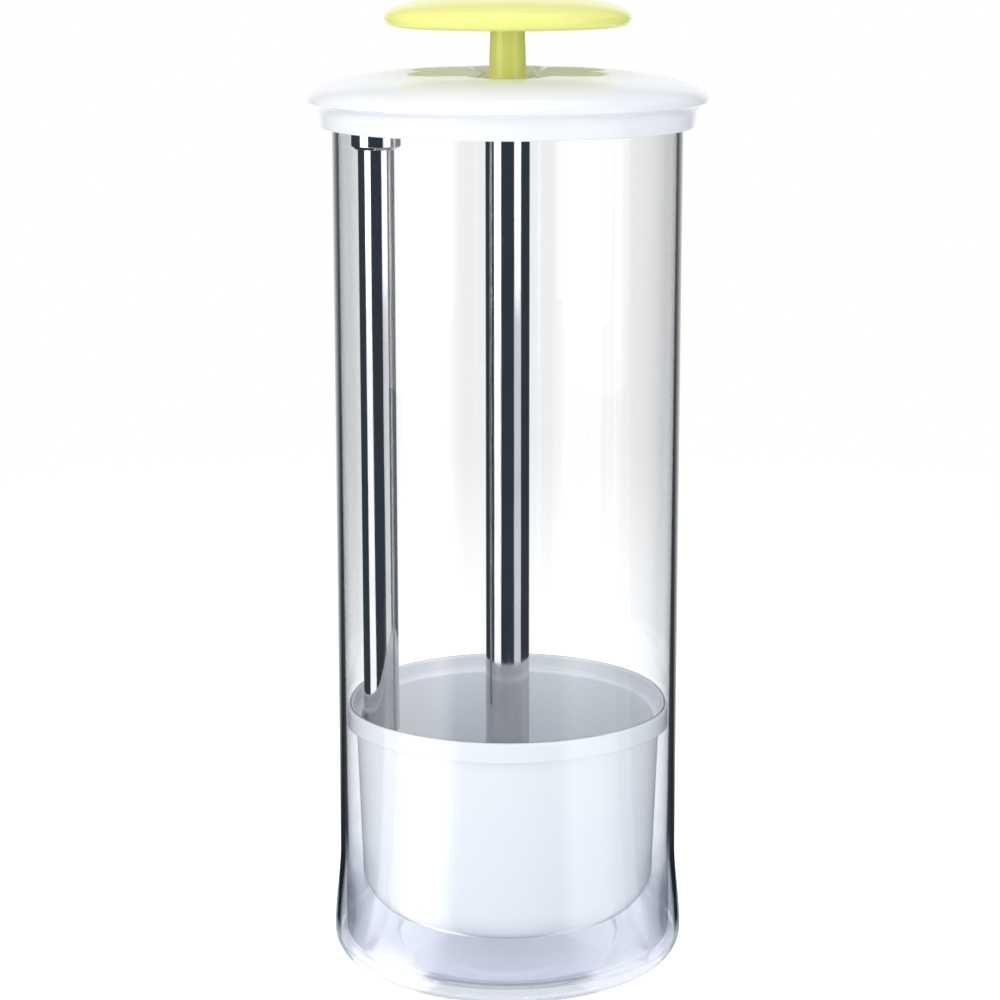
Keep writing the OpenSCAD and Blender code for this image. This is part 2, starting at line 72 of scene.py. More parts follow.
def rounded(corners, closed, fine=7):
    """Points of an outline whose corners (radius, height, rounding) are rounded to arcs. A short
    straight piece is kept on each side of an arc, so that flat faces stay flat in the light."""
    points = []
    count = len(corners)
    for i, corner in enumerate(corners):
        p = Vector(corner[:2])
        size = corner[2] if len(corner) > 2 else 0
        if not size or (not closed and i in (0, count - 1)):
            points.append(p)
            continue
        to_last = (Vector(corners[i - 1][:2]) - p)
        to_next = (Vector(corners[(i + 1) % count][:2]) - p)
        reach = min(to_last.length, to_next.length)
        u, v = to_last.normalized(), to_next.normalized()
        half = u.angle(v) / 2
        tangent = size / math.tan(half)
        centre = p + (u + v).normalized() * size / math.sin(half)
        hold = min(size * 0.3, (reach - tangent) * 0.3)
        start, end = p + u * tangent, p + v * tangent
        if hold > 0.01:
            points.append(p + u * (tangent + hold))
        turn = math.pi - 2 * half
        steps = max(2, round(fine * turn / (math.pi / 2)))
        a, b = start - centre, end - centre
        for k in range(steps + 1):
            t = k / steps
            points.append(centre + (a * math.sin((1 - t) * turn) + b * math.sin(t * turn))
                          / math.sin(turn))
        if hold > 0.01:
            points.append(p + v * (tangent + hold))
    return points


def crisp(bm):
    """Smooth shading, with the edges that are sharper than SHARP kept crisp."""
    for f in bm.faces:
        f.smooth = True
    for e in bm.edges:
        if len(e.link_faces) == 2:
            e.smooth = e.calc_face_angle(0) < SHARP


def face_out(bm):
    """Turns the faces of a closed mesh outwards."""
    bmesh.ops.recalc_face_normals(bm, faces=bm.faces)
    if bm.calc_volume(signed=True) < 0:
        bmesh.ops.reverse_faces(bm, faces=bm.faces)


def spun(points, closed, segments):
    """A bmesh of an outline, points in millimetres, turned once round the vertical axis."""
    bm = bmesh.new()
    line = [bm.verts.new((p[0] * MM, 0, p[1] * MM)) for p in points]
    pairs = zip(line, line[1:] + line[:1]) if closed else zip(line, line[1:])
    edges = [bm.edges.new(pair) for pair in pairs]
    turn = 2 * math.pi / SECTORS
    bmesh.ops.spin(bm, geom=line + edges, cent=(0, 0, 0), axis=(0, 0, 1), dvec=(0, 0, 0),
                   angle=turn, steps=segments // SECTORS)
    while turn < 2 * math.pi - 0.1:
        made = bmesh.ops.duplicate(bm, geom=bm.verts[:] + bm.edges[:] + bm.faces[:])["geom"]
        bmesh.ops.rotate(bm, cent=(0, 0, 0), matrix=Matrix.Rotation(turn, 3, "Z"),
                         verts=[v for v in made if isinstance(v, bmesh.types.BMVert)])
        turn *= 2
    bmesh.ops.remove_doubles(bm, verts=bm.verts, dist=WELD)
    face_out(bm)
    return bm


def piece(name, bm, body, finishes, stands_for=()):
    """Makes the bmesh a piece that rides on a body and stands for CAD nodes."""
    crisp(bm)
    mesh = bpy.data.meshes.new(name)
    bm.to_mesh(mesh)
    bm.free()
    obj = bpy.data.objects.new(name, mesh)
    bpy.context.scene.collection.objects.link(obj)
    for finish in finishes:
        mesh.materials.append(finish)
    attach(obj, body)
    if stands_for:
        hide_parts(*stands_for)
    return obj


def arc(r, z, size, start, end, steps=12):
    """Points of an arc round (r, z), from one angle to another, in degrees."""
    angles = [math.radians(start + (end - start) * k / steps) for k in range(steps + 1)]
    return [(r + size * math.cos(a), z + size * math.sin(a)) for a in angles]


# ---------------------------------------------------------------- finishes

def add(tree, kind, settings=None, **links):
    """A shader node. Settings go to its sockets by name, and links join other nodes' outputs."""
    n = tree.nodes.new("ShaderNode" + kind)
    for key, value in (settings or {}).items():
        if key in n.inputs:
            n.inputs[key].default_value = value
        else:
            setattr(n, key, value)
    for key, source in links.items():
        tree.links.new(source, n.inputs[key.replace("_", " ")])
    return n


def join(tree, source, socket):
    """Gives a socket a number, or another node's output."""
    if isinstance(source, (int, float)):
        socket.default_value = source
    else:
        tree.links.new(source, socket)


def maths(tree, operation, first, second, clamp=False):
    """Two values, each a number or another node's output, put together by an operation."""
    n = add(tree, "Math", {"operation": operation, "use_clamp": clamp})
    join(tree, first, n.inputs[0])
    join(tree, second, n.inputs[1])
    return n.outputs[0]


def either(tree, share, first, second):
    """One shader or the other, or a share of both."""
    mix = add(tree, "MixShader")
    for source, socket in zip((share, first.outputs[0], second.outputs[0]), mix.inputs):
        tree.links.new(source, socket)
    return mix


def new_finish(name):
    """A material with its Principled shader: (material, tree, shader)."""
    made = bpy.data.materials.new(name)
    made.use_nodes = True
    return made, made.node_tree, made.node_tree.nodes["Principled BSDF"]


def noise_in(tree, place, scale, detail=2.0, stretch=None):
    """Noise on the piece's own coordinates, stretched if asked."""
    if stretch:
        turned_place = add(tree, "Mapping", {"Scale": stretch}, Vector=place)
        place = turned_place.outputs["Vector"]
    return add(tree, "TexNoise", {"Scale": scale, "Detail": detail}, Vector=place).outputs["Fac"]


def between(tree, source, low, high):
    """A value that runs from low to high as the source runs over the middle of its range."""
    return add(tree, "MapRange", {"From Min": 0.3, "From Max": 0.7, "To Min": low, "To Max": high},
               Value=source).outputs["Result"]


def uneven(tree, skin, place, first, second, scale, detail, gloss):
    """Lets a skin's colour drift between two colours, and gives it an uneven gloss."""
    drift = between(tree, noise_in(tree, place, scale, detail), 0.0, 1.0)
    tree.links.new(mixed(tree, drift, first, second), skin.inputs["Base Color"])
    tree.links.new(gloss, skin.inputs["Roughness"])


def textured(tree, skin, strength, depth, height):
    """Gives a skin a fine relief."""
    bump = add(tree, "Bump", {"Strength": strength, "Distance": depth}, Height=height)
    tree.links.new(bump.outputs["Normal"], skin.inputs["Normal"])


def moulded(name, colour, shade, rough, peel=0.05):
    """Moulded plastic: its colour drifts a little, and its gloss and skin are slightly uneven."""
    made, tree, skin = new_finish(name)
    place = add(tree, "TexCoord").outputs["Object"]
    gloss = between(tree, noise_in(tree, place, 90.0, 3.0), rough * 0.92, rough * 1.1)
    uneven(tree, skin, place, colour, shade, 14.0, 2.0, gloss)
    textured(tree, skin, peel, 0.00003, noise_in(tree, place, 260.0))
    skin.inputs["Specular IOR Level"].default_value = 0.5
    skin.inputs["IOR"].default_value = 1.5
    return made


def steel(name, colour, rough, grain, along=(1, 1, 0.02)):
    """Stainless steel with fine lines drawn along it."""
    made, tree, skin = new_finish(name)
    place = add(tree, "TexCoord").outputs["Object"]
    lines = noise_in(tree, place, 1500.0, 3.0, along)
    uneven(tree, skin, place, colour, tuple(c * 0.9 for c in colour), 60.0, 2.0,
           between(tree, lines, rough * 0.7, rough * 1.5))
    textured(tree, skin, grain, 0.0001, lines)
    skin.inputs["Metallic"].default_value = 1.0
    return made


def rubber(name, colour, rough):
    """Pale silicone: matt, a little cloudy, with a fine powdery skin."""
    made, tree, skin = new_finish(name)
    place = add(tree, "TexCoord").outputs["Object"]
    gloss = between(tree, noise_in(tree, place, 400.0), rough * 0.9, rough * 1.1)
    uneven(tree, skin, place, colour, tuple(c * 0.93 for c in colour), 90.0, 3.0, gloss)
    textured(tree, skin, 0.1, 0.0002, noise_in(tree, place, 1400.0))
    return made


def ray_kinds(tree):
    """Which rays look at a surface: (seen, mirrored, light). Seen ones come from the eye or through
    glass, mirrored ones off a gloss, and light ones carry lamp light."""
    path = add(tree, "LightPath").outputs
    seen = maths(tree, "MAXIMUM", path["Is Camera Ray"], path["Is Transmission Ray"])
    mirrored = maths(tree, "SUBTRACT", path["Is Glossy Ray"], path["Is Transmission Ray"], True)
    light = maths(tree, "MAXIMUM", path["Is Shadow Ray"], path["Is Diffuse Ray"])
    return seen, mirrored, light


def step_between(tree, source, low, high, at_low=0.0, at_high=1.0):
    """A soft step as the source runs from low to high, which are numbers or other values."""
    step = add(tree, "MapRange", {"interpolation_type": "SMOOTHSTEP", "To Min": at_low,
                                  "To Max": at_high}, Value=source)
    join(tree, low, step.inputs["From Min"])
    join(tree, high, step.inputs["From Max"])
    return step.outputs["Result"]


def mixed(tree, share, first, second):
    """A colour between two, each a colour or another node's output."""
    mix = add(tree, "Mix", {"data_type": "RGBA"})
    tree.links.new(share, mix.inputs["Factor"])
    for socket, colour in ((mix.inputs[6], first), (mix.inputs[7], second)):
        if isinstance(colour, tuple):
            socket.default_value = (*colour, 1)
        else:
            tree.links.new(colour, socket)
    return mix.outputs[2]


CLEAR_TINT, BOTTOM_TINT = (0.99, 0.995, 1.0), (0.925, 0.945, 1.0)      # upper glass, glass towards the bottom
PAINTED_STRIP_TINT, PAINTED_BAND_TINT = (0.003, 0.007, 0.022), (0.66, 0.71, 0.82)    # painted dark reflection strip, painted paler band outside it


def clear_glass(name, with_painted_edge):
    """Clear glass whose colour grows a cool blue tint towards the bottom. Seen on edge, the outer face
    has a painted reflection: a dark strip painted into its colour for what its inner face mirrors; in
    the flared base a painted paler band lies outside the strip. Part of the view passes straight
    through the thick base, which keeps its inner reflections quiet. Lamp light passes straight through
    everywhere, so that what stands inside is lit."""
    made, tree, skin = new_finish(name)
    skin.inputs["Transmission Weight"].default_value = 1.0
    skin.inputs["IOR"].default_value = 1.47
    skin.inputs["Specular IOR Level"].default_value = 0.4 if with_painted_edge else 0.15
    place = add(tree, "TexCoord").outputs["Object"]
    height = add(tree, "SeparateXYZ", Vector=place).outputs["Z"]
    upper = step_between(tree, height, 0.006, 0.080)
    body = mixed(tree, upper, BOTTOM_TINT, CLEAR_TINT)
    facing = add(tree, "LayerWeight", {"Blend": 0.5}).outputs["Facing"]
    if with_painted_edge:
        skin.inputs["Roughness"].default_value = 0.0
        # painted reflection: the outer face's colour turns to a dark strip where it is seen on edge, with
        # a painted paler band beside it in the flared base
        dark = step_between(tree, facing, 0.71, 0.80)
        strip_end = step_between(tree, height, 0.016, 0.036, 0.85, 0.985)
        pale = step_between(tree, facing, strip_end, maths(tree, "ADD", strip_end, 0.04))
        backfacing = add(tree, "NewGeometry").outputs["Backfacing"]
        near_wall = maths(tree, "SUBTRACT", step_between(tree, height, 0.008, 0.014), backfacing)
        share = maths(tree, "MULTIPLY", dark, near_wall, True)
        body = mixed(tree, share, body, mixed(tree, pale, PAINTED_STRIP_TINT, PAINTED_BAND_TINT))
    else:
        tree.links.new(step_between(tree, height, 0.008, 0.014, 0.16, 0.0),
                       skin.inputs["Roughness"])
    tree.links.new(body, skin.inputs["Base Color"])
    mirrored, light = ray_kinds(tree)[1:]
    passing = maths(tree, "MAXIMUM", light, mirrored)
    calm_low = step_between(tree, height, 0.010, 0.018, 0.5, 0.0)
    calm_side = maths(tree, "MULTIPLY", step_between(tree, facing, 0.35, 0.55),
                      step_between(tree, height, 0.030, 0.044, 0.55, 0.0))
    straight = maths(tree, "MAXIMUM", passing, maths(tree, "MAXIMUM", calm_low, calm_side))
    through = add(tree, "BsdfTransparent", Color=mixed(tree, passing, body, CLEAR_TINT))
    both = either(tree, straight, skin, through)
    tree.links.new(both.outputs[0], tree.nodes["Material Output"].inputs["Surface"])
    return made


lid_white = moulded("lid_white", (0.90, 0.91, 0.94), (0.885, 0.90, 0.935), 0.16)
basket_white = moulded("basket_white", (0.90, 0.92, 0.95), (0.885, 0.91, 0.945), 0.18)
tray_white = moulded("tray_white", (0.80, 0.81, 0.84), (0.78, 0.79, 0.82), 0.42)
handle_yellow = moulded("handle_yellow", (0.92, 0.925, 0.27), (0.905, 0.91, 0.25), 0.17)
plug_grey = moulded("plug_grey", (0.3, 0.31, 0.33), (0.27, 0.28, 0.3), 0.45)
tube_steel = steel("tube_steel", (0.66, 0.66, 0.67), 0.08, 0.1)
screw_steel = steel("screw_steel", (0.55, 0.56, 0.58), 0.3, 0.2, (1, 1, 1))
insert_brass = steel("insert_brass", (0.72, 0.52, 0.22), 0.3, 0.2, (1, 1, 1))
silicone = rubber("silicone", (0.72, 0.74, 0.77), 0.55)
glass_outside = clear_glass("glass_outside", True)
glass_inside = clear_glass("glass_inside", False)


# ---------------------------------------------------------------- the jar

def jar_outline():
    """The jar's outline, from the middle of its underside up the outside and down to its floor."""
    flare = [(BASE_R + (JAR_R - BASE_R) * t * t * (3 - 2 * t),
              BASE_CORNER + (FLARE_TOP - BASE_CORNER) * t)
             for t in [k / 24 for k in range(1, 25)]]
    foot = arc(BASE_R - BASE_CORNER, BASE_CORNER, BASE_CORNER, -90, 0, 20)
    ring = rounded([(0, PUNT), (FOOT_IN - 1.2, PUNT, 2.0), (FOOT_IN, 0, 1.0), foot[0]], False)
    lip = 0.8
    rim = rounded([flare[-1], (JAR_R, JAR_TOP, lip), (JAR_IN_R, JAR_TOP, lip),
                   (JAR_IN_R, JAR_FLOOR + INNER_CORNER)], False)
    corner = arc(JAR_IN_R - INNER_CORNER, JAR_FLOOR + INNER_CORNER, INNER_CORNER, 0, -90, 16)
    return [*ring, *foot[1:], *flare, *rim[1:], *corner[1:], (0, JAR_FLOOR)]


bm = spun(jar_outline(), False, GLASS_SEGMENTS)
for face in bm.faces:
    middle = face.calc_center_median()
    inside = face.normal.dot(Vector((middle.x, middle.y, 0))) < 0 or (
        face.normal.z > 0.5 and middle.z < 0.02)
    face.material_index = 1 if inside else 0
piece("jar_glass", bm, "vessel", [glass_outside, glass_inside], ["glass_vessel"])


# ---------------------------------------------------------------- the lid's cover

def soft_min(a, b, k):
    """The lower of two heights, the corner between them rounded off."""
    h = max(k - abs(a - b), 0) / k
    return min(a, b) - h * h * k / 4


def petal_angle(k):
    """The direction of a petal, the first one to the front."""
    return math.radians(-90 + 360 * k / PETALS)


def dome(r):
    """Height of the dome at a radius."""
    q = max(0.0, (r - CROWN_R) / (RIM_R - CROWN_R))
    return RIM_Z + (CROWN_Z - RIM_Z) * math.sqrt(max(0.0, 1 - q * q))


def lid_top(x, y):
    """Height of the lid's upper face: the dome with the flower of petals and the stem's seat."""
    r = math.hypot(x, y)
    floor_soft, ridge_soft, lip_soft = 1.6, 0.5, 0.9
    rise = (CROWN_Z - SEAT_Z) / (FUNNEL_R - VENT_IN)
    cut = SEAT_Z - soft_min(0, -(r - VENT_IN) * rise, 0.6)
    floor_z = CROWN_Z - PETAL_DEPTH
    for k in range(PETALS):
        a = petal_angle(k)
        d = math.hypot(x - PETAL_OFFSET * math.cos(a), y - PETAL_OFFSET * math.sin(a))
        wall = (d - (PETAL_R - PETAL_LEAN)) * PETAL_DEPTH / PETAL_LEAN
        cut = soft_min(cut, floor_z - soft_min(0, -wall, floor_soft), ridge_soft)
    return soft_min(dome(r), cut, lip_soft)


def lid_outline():
    """The lid's closed outline. The heights inside the flower's radius are set afterwards."""
    inner = [BOLT_R, 5.0, 6.8, 7.6, HUB_R, VENT_IN]
    rings = inner + [VENT_IN + 0.5 * k for k in range(1, 13)] + [VENT_OUT + 0.4 * k for k in range(1, 46)]
    top = [(r, dome(r)) for r in rings]
    steps = 48
    sweep = [k / steps for k in range(1, steps + 1)]
    start = rings[-1]
    outer = [start + (RIM_R - start) * math.sin(t * math.pi / 2) for t in sweep]
    top += [(r, dome(r)) for r in outer]
    tip = 180 - math.degrees(math.acos((COVE_R - (RIM_R - SKIRT_R)) / COVE_R))
    cove = arc(SKIRT_R + COVE_R, COVE_Z, COVE_R, tip, 180, 14)
    edge = 0.6
    skirt = rounded([cove[-1], (SKIRT_R - 0.3, SKIRT_Z, edge), (SKIRT_IN_R, SKIRT_Z, 0.4),
                     (SKIRT_IN_R, LEDGE_Z), (CAVITY_R, LEDGE_Z)], False)
    under_rings = [CAVITY_R - 0.9 * k for k in range(1, 17)] + [r for r in reversed(rings)
                                                             if HUB_R <= r <= FLOWER_R - 0.5]
    under = [(r, dome(r) - LID_WALL) for r in under_rings]
    hub = [(HUB_R, HUB_Z), (BOLT_R, HUB_Z)]
    return [*top, *cove, *skirt[1:], *under, *hub]


def cut_vents(bm):
    """Opens the vent slots: the faces between the rings go, above and below, and walls join them."""
    def in_slot(p, k, half):
        off = math.atan2(p.y, p.x) - petal_angle(k)
        return (VENT_IN - 0.1 < math.hypot(p.x, p.y) / MM < VENT_OUT + 0.1
                and math.cos(off) > math.cos(math.radians(half)))
    gone = [f for f in bm.faces
            if any(in_slot(f.calc_center_median(), k, VENT_HALF) for k in range(PETALS))]
    bmesh.ops.delete(bm, geom=gone, context="FACES")
    open_edges = [e for e in bm.edges if len(e.link_faces) == 1]
    for k in range(PETALS):
        loops = [e for e in open_edges
                 if in_slot((e.verts[0].co + e.verts[1].co) / 2, k, 180 / PETALS)]
        bmesh.ops.bridge_loops(bm, edges=loops)


bm = spun(lid_outline(), True, 360)
for v in bm.verts:
    x, y, z = v.co / MM
    r = math.hypot(x, y)
    if r < FLOWER_R and z > HUB_Z + 1:
        top = z > dome(r) - LID_WALL / 2
        v.co.z = (lid_top(x, y) - (0 if top else LID_WALL)) * MM
cut_vents(bm)
face_out(bm)
piece("lid_cover", bm, "lid", [lid_white], ["lid_shell"])


# ---------------------------------------------------------------- tray and seal under the cover

TRAY_Z, TRAY_R, PAN_R, PAN_Z = 248.4, 46.4, 44.8, 250.4
FLANGE_R, FLANGE_Z = 50.0, 255.2
bm = spun(rounded([(BOLT_R, TRAY_Z), (TRAY_R, TRAY_Z, 1.0), (TRAY_R, FLANGE_Z, 0.3),
                   (FLANGE_R, FLANGE_Z, 0.2), (FLANGE_R, LEDGE_Z, 0.2), (PAN_R, LEDGE_Z),
                   (PAN_R, PAN_Z, 0.8), (HUB_R, PAN_Z, 0.4), (HUB_R, HUB_Z), (BOLT_R, HUB_Z)],
                  True), True, SEGMENTS)
piece("tray", bm, "lid", [tray_white], ["lid_tray"])

SEAL_IN_R, SEAL_R, SEAL_Z, SEAL_LIP_Z, FIN_R = 46.45, 47.2, 249.4, 254.0, 48.0
fins = [(SEAL_R, 250.24), (FIN_R, 250.93), (SEAL_R, 251.6),
        (SEAL_R, 251.77), (FIN_R, 252.47), (SEAL_R, 253.1)]
bm = spun(rounded([(SEAL_IN_R, SEAL_Z, 0.2), (SEAL_R, SEAL_Z, 0.2)]
                  + [(r, z, 0.12) for r, z in fins]
                  + [(SEAL_R, SEAL_LIP_Z, 0.1), (FLANGE_R, SEAL_LIP_Z, 0.3),
                     (FLANGE_R, FLANGE_Z, 0.3), (SEAL_IN_R, FLANGE_Z)], True, 4), True, SEGMENTS)
piece("seal_ring", bm, "seal", [silicone], ["lid_seal"])


# ---------------------------------------------------------------- the handle

DISC_R, DISC_Z, DISC_WIDE_Z, DISC_TOP_Z, DISC_EDGE = 35.1, 275.4, 278.0, 284.6, 2.6
DISC_WALL, PLATE_R, PLATE_TOP_Z, PLATE_GAP = 2, 31.5, 277.2, 0.05
STEM_R, STEM_FOOT_R, STEM_Z, STEM_TOP_Z, SPIGOT_R = 4.9, 6.9, 258.0, 281.6, 3.8
INSERT_R, INSERT_TOP_Z, STUD_HOLE_TOP_Z = 3.25, 267.0, 270.0
cap = [(DISC_R * math.cos(math.radians(a)),
        DISC_WIDE_Z + (DISC_TOP_Z - DISC_WIDE_Z) * math.sin(math.radians(a)))
       for a in [90 * k / 40 for k in range(41)]]
hollow = [((DISC_R - DISC_WALL) * math.cos(math.radians(a)),
           DISC_WIDE_Z + (DISC_TOP_Z - DISC_WIDE_Z - DISC_WALL) * math.sin(math.radians(a)))
          for a in [90 * k / 20 for k in range(20, -1, -1)]]
lower = arc(DISC_R - DISC_EDGE, DISC_WIDE_Z, DISC_EDGE, -90, 0, 12)
mouth = rounded([hollow[-1], (PLATE_R - 2, PLATE_TOP_Z), (PLATE_R + PLATE_GAP, PLATE_TOP_Z),
                 (PLATE_R + PLATE_GAP, DISC_Z, 0.25), lower[0]], False)
bm = spun([*reversed(cap), *reversed(lower[1:-1]), *reversed(mouth[1:]), *reversed(hollow)],
          False, SEGMENTS)
piece("handle_cap", bm, "handle", [handle_yellow], ["handle_disc"])

bm = spun(rounded([(STEM_R + PLATE_GAP, DISC_Z, 0.3), (PLATE_R, DISC_Z, 0.3), (PLATE_R, PLATE_TOP_Z),
                   (STEM_R + PLATE_GAP, PLATE_TOP_Z)], True), True, SEGMENTS)
piece("cap_plate", bm, "handle", [handle_yellow], ["handle_underplate"])

foot_cove = arc(STEM_FOOT_R, 260.7, 1.5, -90, -180, 8)
bm = spun(rounded([(0, STUD_HOLE_TOP_Z), (BOLT_R, STUD_HOLE_TOP_Z), (BOLT_R, INSERT_TOP_Z),
                   (INSERT_R, INSERT_TOP_Z), (INSERT_R, STEM_Z), (STEM_FOOT_R, STEM_Z, 0.3),
                   (STEM_FOOT_R, 259.2), *foot_cove[1:], (STEM_R, DISC_Z),
                   (STEM_R, PLATE_TOP_Z), (SPIGOT_R, PLATE_TOP_Z), (SPIGOT_R, STEM_TOP_Z, 0.4),
                   (0, STEM_TOP_Z)], False), False, FEW_SEGMENTS)
piece("stem", bm, "handle", [handle_yellow], ["handle_stem"])

bm = spun(rounded([(BOLT_R, SEAT_Z), (STEM_FOOT_R, SEAT_Z, 0.25), (STEM_FOOT_R, STEM_Z, 0.25),
                   (BOLT_R, STEM_Z)], True, 4), True, FEW_SEGMENTS)
piece("stem_washer", bm, "lid", [silicone], ["stem_gasket"])


# ---------------------------------------------------------------- tubes

def tube(name, outline, x, stands_for):
    """A steel tube or ring, turned and then moved out from the axis."""
    bm = spun(outline, True, FEW_SEGMENTS)
    bmesh.ops.translate(bm, vec=(x * MM, 0, 0), verts=bm.verts)
    return piece(name, bm, "lid", [tube_steel], stands_for)


TUBE_R, TUBE_IN_R, TUBE_Z, TUBE_TOP_Z = 6.5, 5.9, 21.4, 246.9
FILLER_X, FILLER_R, FILLER_IN_R, FILLER_Z, FILLER_TOP_Z = -37.6, 5.35, 4.75, 68.5, 249.6
LIP_R, LIP_Z = 6.2, 249.0
COLLAR_R, COLLAR_IN_R, COLLAR_Z, COLLAR_TOP_Z, CHAMFER = 7.3, 5.4, 240.8, 247.6, 0.9
tube("carrying_tube", rounded([(TUBE_IN_R, TUBE_Z, 0.2), (TUBE_R, TUBE_Z, 0.25),
                               (TUBE_R, TUBE_TOP_Z, 0.25), (TUBE_IN_R, TUBE_TOP_Z, 0.2)],
                              True, 4), 0, ["centre_tube"])
tube("pouring_tube", rounded([(FILLER_IN_R, FILLER_Z, 0.2), (FILLER_R, FILLER_Z, 0.2),
                              (FILLER_R, LIP_Z), (LIP_R, LIP_Z, 0.15),
                              (LIP_R, FILLER_TOP_Z, 0.15), (FILLER_IN_R, FILLER_TOP_Z, 0.3)],
                             True, 4), FILLER_X, ["filler_tube"])
tube("tube_collar", rounded([(COLLAR_IN_R, COLLAR_Z), (COLLAR_R - CHAMFER, COLLAR_Z, 0.2),
                             (COLLAR_R, COLLAR_Z + CHAMFER, 0.2), (COLLAR_R, COLLAR_TOP_Z, 0.2),
                             (COLLAR_IN_R, COLLAR_TOP_Z)], True, 4), FILLER_X, ["filler_collar"])


# ---------------------------------------------------------------- the basket

BAND_R, BAND_Z, BASKET_TOP_Z, SHELF_Z = 47.8, 72.7, 78.5, 74.5
HUB_OUT_R, HUB_IN_R, HUB_TOP_Z, SOCKET_Z = 9.45, 6.55, 30.0, 20.6
SCREW_HOLE_R, RECESS_R, RECESS_TOP_Z, BASKET_Z = 2.3, 6.5, 18.6, 15.0


def basket_outline():
    """The basket's closed outline: recess, foot, wall, band, mouth, inside, hub and socket."""
    foot = arc(32.5, 26.0, 11.0, -90, 0, 20)
    inner_foot = arc(33.2, 26.0, 8.5, 0, -90, 16)
    body = rounded([foot[-1], (45.2, BAND_Z, 0.4), (BAND_R, BAND_Z, 0.5),
                    (BAND_R, BASKET_TOP_Z, 0.9), (46.0, BASKET_TOP_Z, 0.7), (46.0, SHELF_Z, 0.5),
                    (43.4, SHELF_Z - 0.4, 0.8), inner_foot[0]], False)
    hub = rounded([inner_foot[-1], (HUB_OUT_R, 17.5, 1.5), (HUB_OUT_R, HUB_TOP_Z, 0.6),
                   (HUB_IN_R, HUB_TOP_Z, 0.2), (HUB_IN_R, SOCKET_Z)], False)
    return [(SCREW_HOLE_R, RECESS_TOP_Z), (RECESS_R, RECESS_TOP_Z), (RECESS_R, BASKET_Z + 0.4),
            (RECESS_R + 0.4, BASKET_Z), *foot, *body[1:], *inner_foot[1:], *hub[1:],
            (SCREW_HOLE_R, SOCKET_Z)]


bm = spun(basket_outline(), True, SEGMENTS)
piece("basket", bm, "lid", [basket_white], ["water_basket"])


# ---------------------------------------------------------------- CAD nodes that stay

KEPT = {"tray_screws": screw_steel, "stem_insert": insert_brass, "tie_stud": screw_steel,
        "tube_top_plug": plug_grey, "tube_foot_plug": plug_grey, "basket_gasket": silicone,
        "basket_washer": screw_steel, "basket_screw": screw_steel, "filler_seal": silicone}
for node_name, finish in KEPT.items():
    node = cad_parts[node_name]
    node.data.materials.clear()
    node.data.materials.append(finish)


# ---------------------------------------------------------------- floor, light and camera

BACKDROP_FROM, BACKDROP_TO = 0.80, 0.97   # how far behind a mirrored direction points
CANOPY_FROM, CANOPY_TO = 0.25, 0.60       # how high a mirrored direction points
ROOM_LIGHT, CANOPY_LIGHT, EVEN_LIGHT = 0.07, 0.6, 0.62
LEFT_PAINTED_GLOW, RIGHT_PAINTED_GLOW = 1.7, 0.9          # painted glow on the floor under the softboxes, as a mirror sees it


def backdrop_light(tree, way):
    """How bright a mirror sees the studio in a direction: a white backdrop behind the jar, a white
    canopy above it, and a dim room elsewhere."""
    aim = add(tree, "VectorMath", {"operation": "NORMALIZE"}, Vector=way).outputs["Vector"]
    parts = add(tree, "SeparateXYZ", Vector=aim).outputs
    behind = step_between(tree, parts["Y"], BACKDROP_FROM, BACKDROP_TO, ROOM_LIGHT, 1.0)
    above = step_between(tree, parts["Z"], CANOPY_FROM, CANOPY_TO, ROOM_LIGHT,
                         CANOPY_LIGHT)
    return maths(tree, "MAXIMUM", behind, above)


def room_colour(tree, level):
    """The dim part of the room is bluish, and what is bright in it is white."""
    return mixed(tree, step_between(tree, level, ROOM_LIGHT, 0.4), (0.62, 0.8, 1.0), (1, 1, 1))


def painted_softbox_glow(tree, place):
    """A painted glow on the floor under the two softboxes, to the left and right in front, as a mirror
    sees it.
    """
    aim = add(tree, "VectorMath", {"operation": "NORMALIZE"}, Vector=place).outputs["Vector"]
    parts = add(tree, "SeparateXYZ", Vector=aim).outputs
    front = step_between(tree, parts["Y"], -0.27, -0.33)
    right = step_between(tree, parts["X"], 0.52, 0.60, 0.0, RIGHT_PAINTED_GLOW)
    left = step_between(tree, parts["X"], -0.52, -0.60, 0.0, LEFT_PAINTED_GLOW)
    return maths(tree, "MULTIPLY", maths(tree, "ADD", right, left), front)


def white_stage(name, shade, glow):
    """The floor's finish: it takes the object's shadow, and reads as white where it is seen. In mirrors
    it glows with painted light: the studio's backdrop, canopy and dim room, and painted pools of light
    under the softboxes.
    """
    made, tree, skin = new_finish(name)
    place = add(tree, "TexCoord").outputs["Object"]
    skin.inputs["Base Color"].default_value = (*shade, 1)
    tree.links.new(between(tree, noise_in(tree, place, 6.0), 0.7, 0.8), skin.inputs["Roughness"])
    skin.inputs["Specular IOR Level"].default_value = 0.1
    seen, mirrored = ray_kinds(tree)[:2]
    skin.inputs["Emission Color"].default_value = (1, 1, 1, 1)
    tree.links.new(maths(tree, "MULTIPLY", seen, glow), skin.inputs["Emission Strength"])
    away = add(tree, "VectorMath", {"operation": "LENGTH"}, Vector=place).outputs["Value"]
    fade = maths(tree, "MULTIPLY", step_between(tree, away, 0.10, 0.8), seen)
    plain = add(tree, "Emission", {"Color": (1, 1, 1, 1), "Strength": 1.0})
    ground = either(tree, fade, skin, plain)
    studio = maths(tree, "ADD", backdrop_light(tree, place), painted_softbox_glow(tree, place))
    # painted light: in mirrors the floor glows as the studio would, brighter under the softboxes
    room = add(tree, "Emission", Color=room_colour(tree, studio), Strength=studio)
    both = either(tree, mirrored, ground, room)
    tree.links.new(both.outputs[0], tree.nodes["Material Output"].inputs["Surface"])
    return made


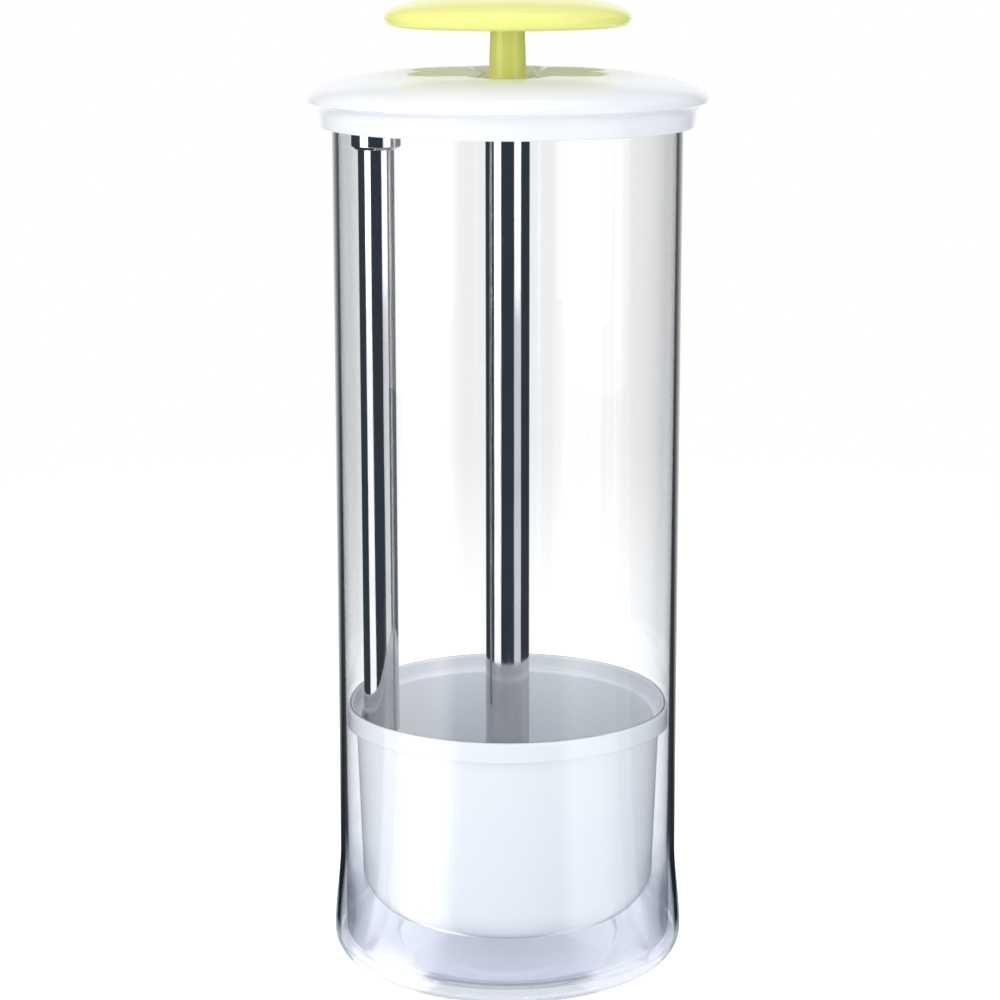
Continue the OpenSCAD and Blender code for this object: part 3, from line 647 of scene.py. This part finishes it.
bm = bmesh.new()
bmesh.ops.create_circle(bm, cap_ends=True, segments=96, radius=14.0)
floor_mesh = bpy.data.meshes.new("floor")
bm.to_mesh(floor_mesh)
bm.free()
floor = bpy.data.objects.new("floor", floor_mesh)
bpy.context.scene.collection.objects.link(floor)
floor_mesh.materials.append(white_stage("floor_white", (0.9, 0.9, 0.9), 0.45))


def studio_world():
    """White all round for the eye and through glass. Polished surfaces see a white backdrop behind
    the jar, a canopy above it and a dim room elsewhere, and matt ones take an even light."""
    world = bpy.data.worlds.new("studio")
    bpy.context.scene.world = world
    world.use_nodes = True
    tree = world.node_tree
    tree.nodes.clear()
    way = add(tree, "TexCoord").outputs["Generated"]
    seen, mirrored = ray_kinds(tree)[:2]
    even = add(tree, "Background", {"Color": (0.95, 0.97, 1.0, 1), "Strength": EVEN_LIGHT})
    studio = backdrop_light(tree, way)
    gloss = add(tree, "Background", Color=room_colour(tree, studio), Strength=studio)
    white = add(tree, "Background", {"Color": (1, 1, 1, 1), "Strength": 1.0})
    both = either(tree, seen, either(tree, mirrored, even, gloss), white)
    add(tree, "OutputWorld", Surface=both.outputs[0])


studio_world()


def softbox(name, place, aim, width, height, power, colour=(1, 1, 1), in_gloss=True):
    """A rectangular lamp that faces a point. It shows in gloss, unless it is a fill, but not to the
    eye or through glass."""
    lamp = bpy.data.lights.new(name, "AREA")
    lamp.shape = "RECTANGLE"
    lamp.size, lamp.size_y = width, height
    lamp.energy = power
    lamp.color = colour
    obj = bpy.data.objects.new(name, lamp)
    obj.location = place
    obj.rotation_euler = (Vector(aim) - Vector(place)).to_track_quat("-Z", "Y").to_euler()
    obj.visible_camera = False
    obj.visible_transmission = False
    obj.visible_glossy = in_gloss
    bpy.context.scene.collection.objects.link(obj)


def out_at(degrees, distance, height):
    """A place round the jar, the angle counted from the camera's side to the right."""
    a = math.radians(degrees)
    return (distance * math.sin(a), -distance * math.cos(a), height)


softbox("softbox_left", out_at(-53, 1.0, 0.5), (0, 0, 0.16), 0.72, 1.0, 4.2, (1.0, 0.995, 0.985))
softbox("softbox_right", out_at(53, 1.0, 0.5), (0, 0, 0.16), 0.72, 1.0, 2.3, (0.93, 0.95, 1.0))
softbox("softbox_top", (0.0, 0.1, 1.3), (0, 0, 0.26), 0.9, 0.9, 2.7)
softbox("fill_front", out_at(-8, 1.2, 0.22), (0, 0, 0.14), 0.8, 0.6, 2.1, in_gloss=False)
softbox("fill_back", out_at(165, 1.2, 0.6), (0, 0, 0.18), 0.9, 0.7, 2.4, in_gloss=False)

CAMERA_PLACE, CAMERA_DOWN = (0.0, -0.819, 0.3127), 12.02
CAMERA_LENS, CAMERA_SENSOR, CAMERA_SHIFT = 102.96, 36.0, -0.0076
camera_data = bpy.data.cameras.new("camera")
camera_data.sensor_width = CAMERA_SENSOR
camera_data.lens = CAMERA_LENS
camera_data.shift_x = CAMERA_SHIFT
camera_data.clip_start, camera_data.clip_end = 0.01, 100.0
camera = bpy.data.objects.new("camera", camera_data)
camera.location = CAMERA_PLACE
camera.rotation_euler = (math.radians(90 - CAMERA_DOWN), 0, 0)
bpy.context.scene.collection.objects.link(camera)
bpy.context.scene.camera = camera
bpy.context.scene.view_settings.view_transform = "Standard"
